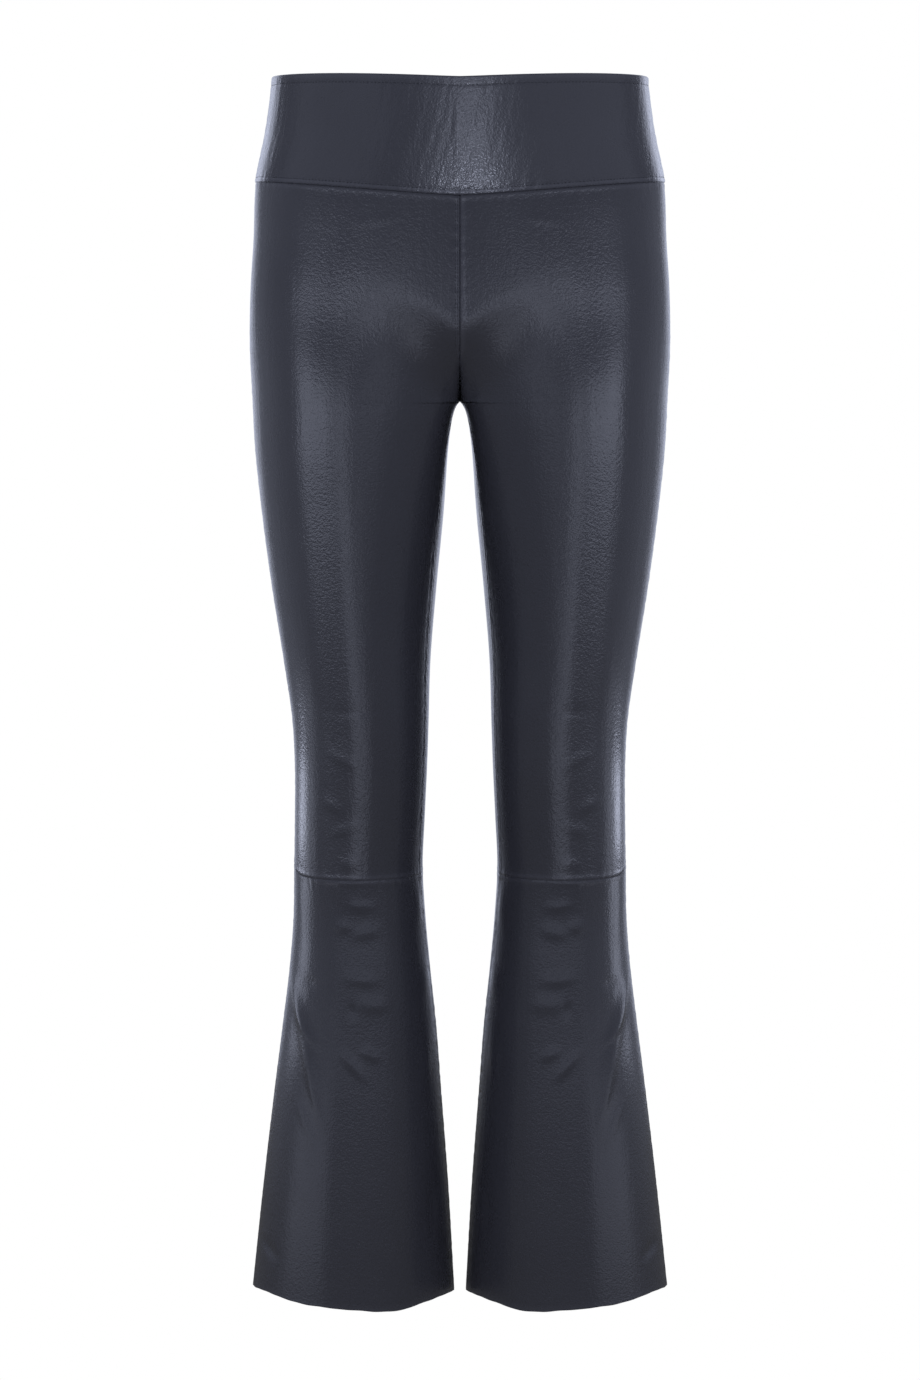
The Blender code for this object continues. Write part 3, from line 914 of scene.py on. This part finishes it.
    def sew(self) -> None:
        """Sews the panel's rows of stitches, where it has any."""
        if not self.stitch_lines:
            return
        thread = bmesh.new()
        for line in self.stitch_lines:
            points, normals = self.line_points(line)
            along = lengths_along(points)
            size = Matrix.Diagonal((line.length / 2, line.thickness / 2, line.thickness * line.flat, 1))
            for middle in np.arange(line.pitch / 2, along[-1], line.pitch):
                start = Vector(part_way(middle - line.length / 2, along, points))
                end = Vector(part_way(middle + line.length / 2, along, points))
                run = (end - start).normalized()
                side = Vector(part_way(middle, along, normals)).normalized().cross(run).normalized()
                up = run.cross(side)
                place = (start + end) / 2 + up * line.thickness * line.proud
                turn = Matrix((run, side, up)).transposed().to_4x4()
                bmesh.ops.create_uvsphere(
                    thread,
                    u_segments=6,
                    v_segments=5,
                    radius=MM,
                    matrix=Matrix.Translation(place * MM) @ turn @ size @ Matrix.Rotation(pi / 2, 4, "Y"),
                )
        mesh = mesh_of(thread, f"{self.name}_stitches")
        mesh.shade_smooth()
        mesh.materials.append(self.thread)
        self.stitches = add_object(mesh.name, mesh)

    def dress(self, slot: str, flat: tuple[float, float], area: float, hangs_from: tuple[str, ...]) -> None:
        """Puts the panel and its stitches in the CAD node's place on the root body, hides the CAD node and
        logs their triangles.

        Args:
            slot: the record's material slot; not used.
            flat: the cut's width and length in metres; not used.
            area: the cut's area in square metres; not used.
            hangs_from: the pieces that hold it up; not used.
        """
        stitches = [self.stitches] if self.stitches else []
        pieces = [self.object, *stitches]
        for piece in pieces:
            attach(piece, "root")
        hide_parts(self.name)
        triangles = sum(len(piece.data.loops) - 2 * len(piece.data.polygons) for piece in pieces)
        LOG.info("%s: %d triangles", self.name, triangles)


class LegPanel(LeatherPanel):
    """The front or back of one leg, above or below the seam across below the knee."""

    def __init__(self, face: Face, leg: Leg, is_upper: bool, finishes: Finishes) -> None:
        """Sets the panel up.

        Args:
            face: front or back.
            leg: left or right.
            is_upper: whether it is the one above the knee seam.
            finishes: the materials.
        """
        part = "upper" if is_upper else "lower"
        super().__init__(f"{face.value}_{part}_{leg.name.lower()}", face, LEATHER, finishes)
        self.is_upper, self.mirror = is_upper, leg.value
        if is_upper:
            self.column_step, self.row_step, self.inner_finish = 2.5, 2.6, Edge.CENTRE_SEAM
        else:
            self.column_step, self.row_step, self.foot_finish = 2.0, 2.0, Edge.RAW
        if is_upper and leg is Leg.RIGHT:  # beside the centre seam, down to the crotch
            last = 0.30 if face is Face.FRONT else 0.34
            self.stitch_lines = (
                StitchLine("inner", 0.15, 0.005, last, pitch=3.4, thickness=0.7),
                StitchLine("inner", 1.9, 0.005, last, thickness=0.36),
                StitchLine("inner", 3.5, 0.005, last, thickness=0.36),
            )

    def rows(self) -> Array:
        """The nominal heights of the rows of points, from the top down."""
        steps = np.array(EDGE_STEPS)
        if not self.is_upper:
            middle = np.arange(KNEE_SEAM - steps[-1] - self.row_step, HEM + 4.0, -self.row_step)
            return np.concatenate([KNEE_SEAM - steps, middle, HEM + steps[::-1][-4:]])
        above = np.arange(WAIST_SEAM - steps[-1] - self.row_step, CROTCH + 17, -self.row_step)
        round_crotch = CROTCH + np.array([15, 13, 11, 9, 7.2, 5.6, 4.2, 3, 2, 1.2, 0.5])
        under_crotch = CROTCH - np.array([0, 0.6, 1.3, 2.1, 3.1, 4.3, 5.8, 7.6, 9.8, 12.2])
        below = np.arange(CROTCH - 14.6, KNEE_SEAM + steps[-1] + 1, -self.row_step)
        inner = (above, round_crotch, under_crotch, below)
        return np.concatenate([WAIST_SEAM - steps, *inner, KNEE_SEAM + steps[::-1]])

    def height_at(self, share: Array, row: float) -> Array:
        """The heights of places along a row, which follows a curved seam near it and is otherwise level."""
        far = (WAIST_SEAM, waist_seam) if self.is_upper else (HEM, hem_edge)
        height = np.full_like(share, row)
        for level, edge in ((KNEE_SEAM, knee_seam), far):
            follow = max(0.0, 1 - abs(row - level) / SEAM_REACH)
            height = height + (edge(self.face, share) - level) * follow
        return height


class Waistband(LeatherPanel):
    """The front or back of the double waistband, from one side seam to the other."""

    first_share = -1.0
    column_step = 2.2
    top_finish = Edge.FOLDED
    stitch_lines = (StitchLine("top", 7.0), StitchLine("foot", 3.6))
    strip = 10.0  # how far the rows run level with an edge

    def __init__(self, face: Face, finishes: Finishes) -> None:
        """Sets up the front or the back."""
        super().__init__(f"waistband_{face.value}", face, WAISTBAND_LEATHER, finishes)
        self.materials = (finishes.leather,) * 3  # double, so its inside and its folded edge are leather too

    def rows(self) -> Array:
        """The rows, as distances down the band from its top edge where it is least tall, at the sides."""
        beside_top = [0, 0.25, 0.6, 1.1, 1.8, 2.8, 4.0, 5.2, 6.2, 7.0, 7.8, 8.8, 10.2]
        beside_seam = [70.4, 72.6, 74.4, 75.8, 76.8, 77.6, 78.4, 79.2, 79.9, 80.4, 80.75, -WAIST_SEAM]
        return np.concatenate([beside_top, np.linspace(12.4, 68, 24), beside_seam])

    def height_at(self, share: Array, row: float) -> Array:
        """The heights of places along a row, spread between the top edge and the seam."""
        top, seam, tall = top_edge(self.face, share), waist_seam(self.face, share), -WAIST_SEAM
        if row <= self.strip:
            return top - row
        if row >= tall - self.strip:
            return seam + tall - row
        spread = (row - self.strip) / (tall - 2 * self.strip)
        return top - self.strip + (seam - top + 2 * self.strip) * spread

    def ripple(self) -> Array:
        """The elastic inside draws the band into faint upright ripples."""
        gathered = np.sin(pi * np.clip(self.from_top / (self.from_top + self.from_foot), 0, 1)) ** 0.5
        broad, fine = wavering(self.from_inner, 11.0, 41), wavering(self.from_inner, 4.6, 42)
        return gathered * (0.07 * broad + 0.05 * fine)


# ---- the studio, in metres ----

DAYLIGHT = (0.925, 0.99, 1.23)
LEG_X = 0.083  # how far the middle of a leg is from the centre line
# The pieces that a light shines on: the waistband's, or the ones above or below the knee seam of its own leg.
BANDS = ("waistband_front_leather", "waistband_back_leather")
THIGH = ("front_upper{}_leather", "back_upper{}_leather")
CALF = ("front_lower{}_leather", "back_lower{}_leather")


@dataclass(frozen=True)
class Softbox:
    """A soft light that stands upright round a piece. The middle of the piece is at centre_x; the light is
    as far off as reach, turned that many degrees from the front, with its own width, and spans two heights.
    Glow is how bright its face is, and shines_on names the pieces that it lights. It only gives them their
    shine and leaves the plain light on them alone."""

    name: str
    centre_x: float
    reach: float
    turn: float
    width: float
    spans: tuple[float, float]
    glow: float
    shines_on: tuple[str, ...]

    def build(self, leg: Leg | None = None) -> None:
        """Builds the light.

        Args:
            leg: for one of a pair, the leg that it lights; the right one's is mirrored.
        """
        side, ending = (leg.value, f"_{leg.name.lower()}") if leg else (1, "")
        name, turn, x = self.name + ending, radians(side * self.turn), side * self.centre_x
        lamp = bpy.data.lights.new(name, "AREA")
        lamp.shape, lamp.color = "RECTANGLE", DAYLIGHT
        lamp.size, lamp.size_y = self.width, self.spans[1] - self.spans[0]
        lamp.energy = self.glow * pi * lamp.size * lamp.size_y
        light, middle = add_object(name, lamp), sum(self.spans) / 2
        place = Vector((x + self.reach * sin(turn), -self.reach * cos(turn), middle))
        light.location = place
        light.rotation_euler = (Vector((x, 0, middle)) - place).to_track_quat("-Z", "Y").to_euler()
        light.visible_camera = light.visible_diffuse = False
        lit = bpy.data.collections.new(f"{name}_shines_on")
        for piece in self.shines_on:
            lit.objects.link(bpy.data.objects[piece.format(ending)])
        light.light_linking.receiver_collection = lit


# Name, middle, reach, turn, width, heights, glow and pieces: the lights of the left leg, and of that side of
# the waistband, which the right has too.
PAIRED_LIGHTS = (
    ("thigh_softbox", LEG_X, 1.6, 45, 1.42, (-0.69, -0.21), 1.95, THIGH),
    ("thigh_inner", LEG_X, 1.6, 10, 0.45, (-0.78, -0.54), 1.7, THIGH),
    ("thigh_top", LEG_X, 1.6, 10, 0.3, (-0.52, -0.22), 1.3, THIGH),
    ("hip_softbox", LEG_X, 1.6, 56, 0.75, (-0.24, -0.05), 1.3, THIGH),
    ("hip_glow", LEG_X, 1.2, -2, 0.6, (-1.02, -0.76), 1.1, THIGH),
    ("crotch_glow", LEG_X, 1.6, -16, 0.7, (-0.54, -0.33), 0.75, THIGH),
    ("calf_softbox", LEG_X, 0.5, 66, 0.46, (-1.0, -0.8), 0.5, CALF),
    ("shin_glow", LEG_X, 1.6, -4, 4.6, (-0.8, -0.5), 0.62, CALF),
    ("side_fill", LEG_X, 1.6, 95, 2.6, (-1.2, 0.4), 0.14, THIGH + CALF),
    ("knee_kicker", LEG_X, 0.34, 120, 0.12, (-0.65, -0.57), 2.8, THIGH),
    ("knee_fill", LEG_X, 0.5, 104, 0.3, (-0.72, -0.6), 0.8, THIGH),
    ("calf_kicker", LEG_X, 0.36, 108, 0.13, (-0.78, -0.62), 1.4, CALF),
    ("waist_side", 0.0, 1.6, 62, 2.2, (0.0, 1.0), 0.28, BANDS),
    ("waist_kicker", 0.1, 0.5, 140, 0.2, (-0.1, 0.16), 1.2, BANDS),
)
# The lights before the waistband.
MIDDLE_LIGHTS = (
    ("waist_softbox", 0.0, 1.6, 3.4, 0.05, (-0.16, 0.03), 58.0, BANDS),
    ("waist_glow", 0.0, 1.6, 4, 0.22, (0.16, 0.6), 3.8, BANDS),
    ("waist_fill", 0.0, 1.6, 4, 1.0, (0.0, 1.0), 0.52, BANDS),
)


def by_ray(tree: NodeTree, plain: float, shine: float | NodeSocket) -> NodeSocket:
    """Builds a strength that depends on the ray: 1 to the camera, and otherwise as given.

    Args:
        tree: the node tree.
        plain: the strength to rays of plain light.
        shine: the strength to rays of shine.

    Returns:
        The socket that gives the strength.
    """
    ray = add_node(tree, "LightPath")
    strength = plain
    for kind, other in (("Is Glossy Ray", shine), ("Is Camera Ray", 1.0)):
        choice = {"Factor": ray.outputs[kind], 2: strength, 3: other}
        strength = add_node(tree, "Mix", choice, data_type="FLOAT").outputs[0]
    return strength


@dataclass(frozen=True)
class Studio:
    """A white studio: a pale floor, a bright surround behind the object, and soft lights round it."""

    surround: float = 1.0  # how bright it is in the leather's shine behind the object, and in front
    front: float = 0.2
    ambient: float = 0.92  # how bright its plain light is
    low_share: float = 0.08  # how much of the surround's shine is left below the horizon
    floor_plain: float = 0.4  # how bright the floor is in plain light and in the leather's shine
    floor_shine: float = 0.13
    floor_z: float = -1.03
    camera_at: tuple[float, float, float] = (0, -3.5, -0.195)
    camera_tilt: float = 85.4
    focal_length: float = 116.84  # in millimetres, on a sensor 36 mm tall

    def build(self) -> None:
        """Builds the world, the floor, the lights and the camera."""
        bpy.context.scene.view_settings.view_transform = "Standard"
        self.build_world()
        self.build_floor()
        for leg in (Leg.RIGHT, Leg.LEFT):
            for row in PAIRED_LIGHTS:
                Softbox(*row).build(leg)
        for row in MIDDLE_LIGHTS:
            Softbox(*row).build()
        self.build_camera()

    def build_world(self) -> None:
        """The surround: white to the camera, and in the leather's shine bright behind and dim in front."""
        world = bpy.data.worlds.new("studio")
        bpy.context.scene.world = world
        world.use_nodes = True
        world.cycles.sampling_method = "NONE"
        tree = world.node_tree
        tree.nodes.clear()
        way = add_node(tree, "TexCoord").outputs["Generated"]
        way = add_node(tree, "SeparateXYZ", {0: way})
        behind, above = (
            add_node(
                tree,
                "MapRange",
                {"Value": way.outputs[axis], "From Min": start, "From Max": end, "To Min": least},
                interpolation_type="SMOOTHSTEP",
            ).outputs["Result"]
            for axis, start, end, least in (("Y", 0.77, 0.97, 0.0), ("Z", -0.22, -0.02, self.low_share))
        )
        lit = add_node(tree, "Math", {0: behind, 1: above}, operation="MULTIPLY").outputs[0]
        seen = {"Value": lit, "To Min": self.front, "To Max": self.surround}
        seen = add_node(tree, "MapRange", seen).outputs["Result"]
        camera_ray = add_node(tree, "LightPath").outputs["Is Camera Ray"]
        tints = {"Factor": camera_ray, 6: (*DAYLIGHT, 1), 7: (1, 1, 1, 1)}
        tint = add_node(tree, "Mix", tints, data_type="RGBA").outputs[2]
        light = {"Color": tint, "Strength": by_ray(tree, self.ambient, seen)}
        light = add_node(tree, "Background", light).outputs[0]
        add_node(tree, "OutputWorld", {"Surface": light})

    def build_floor(self) -> None:
        """A wide round floor, white to the eye."""
        disc = bmesh.new()
        bmesh.ops.create_circle(disc, cap_ends=True, segments=96, radius=2.0)
        bmesh.ops.translate(disc, verts=disc.verts, vec=(0, 0, self.floor_z))
        mesh = mesh_of(disc, "floor")
        material, tree, shader = new_material("white_floor_paint")
        tree.nodes.remove(shader)
        glow = {"Color": (1, 1, 1, 1), "Strength": by_ray(tree, self.floor_plain, self.floor_shine)}
        glow = add_node(tree, "Emission", glow).outputs[0]
        tree.links.new(glow, tree.nodes["Material Output"].inputs["Surface"])
        mesh.materials.append(material)
        add_object("floor", mesh)

    def build_camera(self) -> None:
        """The camera, a little above the middle of the trousers and looking slightly down."""
        lens = bpy.data.cameras.new("camera")
        lens.sensor_fit, lens.sensor_height, lens.lens = "VERTICAL", 36, self.focal_length
        camera = add_object("camera", lens)
        camera.location = self.camera_at
        camera.rotation_euler = (radians(self.camera_tilt), 0, 0)
        bpy.context.scene.camera = camera


# ---- main ----

# The flat cuts: width and length in metres, and area in square metres.
CUTS = {
    "waistband_front": ((0.440, 0.094), 0.0353),
    "waistband_back": ((0.439, 0.094), 0.0357),
    "front_upper": ((0.300, 0.634), 0.1070),
    "back_upper": ((0.330, 0.650), 0.1285),
    "front_lower": ((0.228, 0.338), 0.0645),
    "back_lower": ((0.229, 0.339), 0.0693),
}


def main() -> None:
    """Builds the trousers piece by piece, then the studio."""
    finishes = Finishes(StretchNappa().build(), BACKING.build(), CUT_EDGE.build(), THREAD.build())
    bands = [Waistband(face, finishes) for face in Face]
    for band in bands:
        band.build()
        band.sew()
        band.dress("waistband_leather", *CUTS[band.name], ())
    for face in Face:
        for leg in Leg:
            hangs_from = tuple(band.object.name for band in bands)
            for part in ("upper", "lower"):
                panel = LegPanel(face, leg, part == "upper", finishes)
                panel.build()
                panel.sew()
                panel.dress(f"{part}_leg_leather", *CUTS[f"{face.value}_{part}"], hangs_from)
                hangs_from = (panel.object.name,)
    Studio().build()


if __name__ == "__main__":
    logging.basicConfig(level=logging.INFO, format="%(name)s: %(message)s")
    main()
